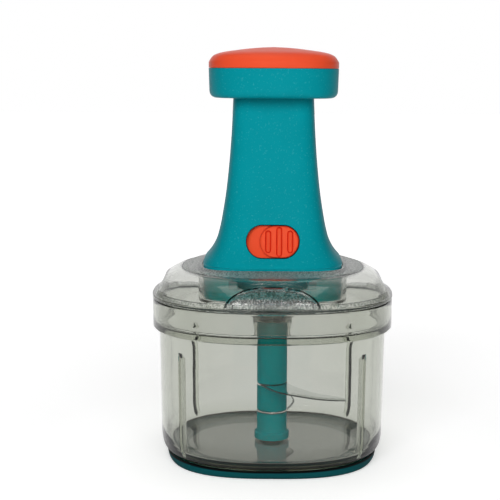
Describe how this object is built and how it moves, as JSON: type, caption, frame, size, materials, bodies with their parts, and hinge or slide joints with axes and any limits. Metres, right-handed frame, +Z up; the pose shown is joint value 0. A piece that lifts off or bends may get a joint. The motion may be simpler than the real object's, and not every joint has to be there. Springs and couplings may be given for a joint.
{
  "type": "manual food chopper",
  "caption": "Push-down food chopper: knob, flared handle with lock slide, clear lid and bowl, and a stack of curved blades turned by a twisted rod.",
  "frame": {"origin": "centre of the base, on the surface that the foot ring stands on", "axes": "+Z up along the axis of the blade stack, front with the lock slide towards -Y, +X to the right seen from the front"},
  "size_m": [0.1332, 0.1332, 0.226],
  "materials": {
    "teal_plastic": "fine moulded grain",
    "dark_teal_plastic": "fine moulded grain",
    "orange_plastic": "satin moulded",
    "foot_rubber": "matt",
    "smoky_clear_plastic": "clear moulded",
    "white_acetal": "moulded",
    "steel": "bright",
    "blade_steel": "ground and polished"
  },
  "bodies": {
    "bowl": {"bowl": "smoky_clear_plastic", "foot_ring": "foot_rubber", "bowl_pin": "steel"},
    "lid": {"lid": "smoky_clear_plastic"},
    "handle": {"handle_column": "teal_plastic", "bottom_cover": "dark_teal_plastic", "cover_screw_1": "steel", "cover_screw_2": "steel", "cover_screw_3": "steel", "cover_screw_4": "steel", "output_bush": "white_acetal", "clutch_housing": "white_acetal", "housing_screw_1": "steel", "housing_screw_2": "steel", "housing_screw_3": "steel", "lock_retainer": "dark_teal_plastic"},
    "knob": {"knob_cap": "orange_plastic", "knob_shell": "teal_plastic", "plunger": "white_acetal", "twisted_rod": "steel", "return_spring": "steel", "knob_screw_1": "steel", "knob_screw_2": "steel", "knob_screw_3": "steel", "knob_screw_4": "steel"},
    "lock": {"lock_slide": "orange_plastic"},
    "nut": {"twist_nut": "white_acetal"},
    "coupler": {"output_coupler": "white_acetal"},
    "blades": {"blade_foot": "teal_plastic", "lower_blade": "blade_steel", "blade_spacer": "teal_plastic", "upper_blade": "blade_steel", "blade_tube": "teal_plastic"}
  },
  "joints": [
    {"name": "lid_lift", "type": "slide", "parent": "bowl", "child": "lid", "axis": [0, 0, 1], "range_m": [0, 0.062]},
    {"name": "handle_lift", "type": "slide", "parent": "lid", "child": "handle", "axis": [0, 0, 1], "range_m": [0, 0.062]},
    {"name": "knob_press", "type": "slide", "parent": "handle", "child": "knob", "axis": [0, 0, 1], "range_m": [0, 0.045], "deforming": ["return_spring"]},
    {"name": "lock_push", "type": "slide", "parent": "handle", "child": "lock", "axis": [-1, 0, 0], "range_m": [0, 0.007]},
    {"name": "nut_spin", "type": "hinge", "parent": "handle", "child": "nut", "pos_m": [0, 0, 0.104], "axis": [0, 0, 1], "range_deg": [0, 540]},
    {"name": "coupler_spin", "type": "hinge", "parent": "handle", "child": "coupler", "pos_m": [0, 0, 0.097], "axis": [0, 0, 1], "range_deg": [0, 540]},
    {"name": "blade_spin", "type": "hinge", "parent": "bowl", "child": "blades", "pos_m": [0, 0, 0.02], "axis": [0, 0, 1], "range_deg": [0, 540]}
  ],
  "couplings": [
    {"joint": "nut_spin", "follows": "knob_press", "rad_per_m": 209.44},
    {"joint": "coupler_spin", "follows": "knob_press", "rad_per_m": 209.44},
    {"joint": "blade_spin", "follows": "knob_press", "rad_per_m": 209.44}
  ]
}
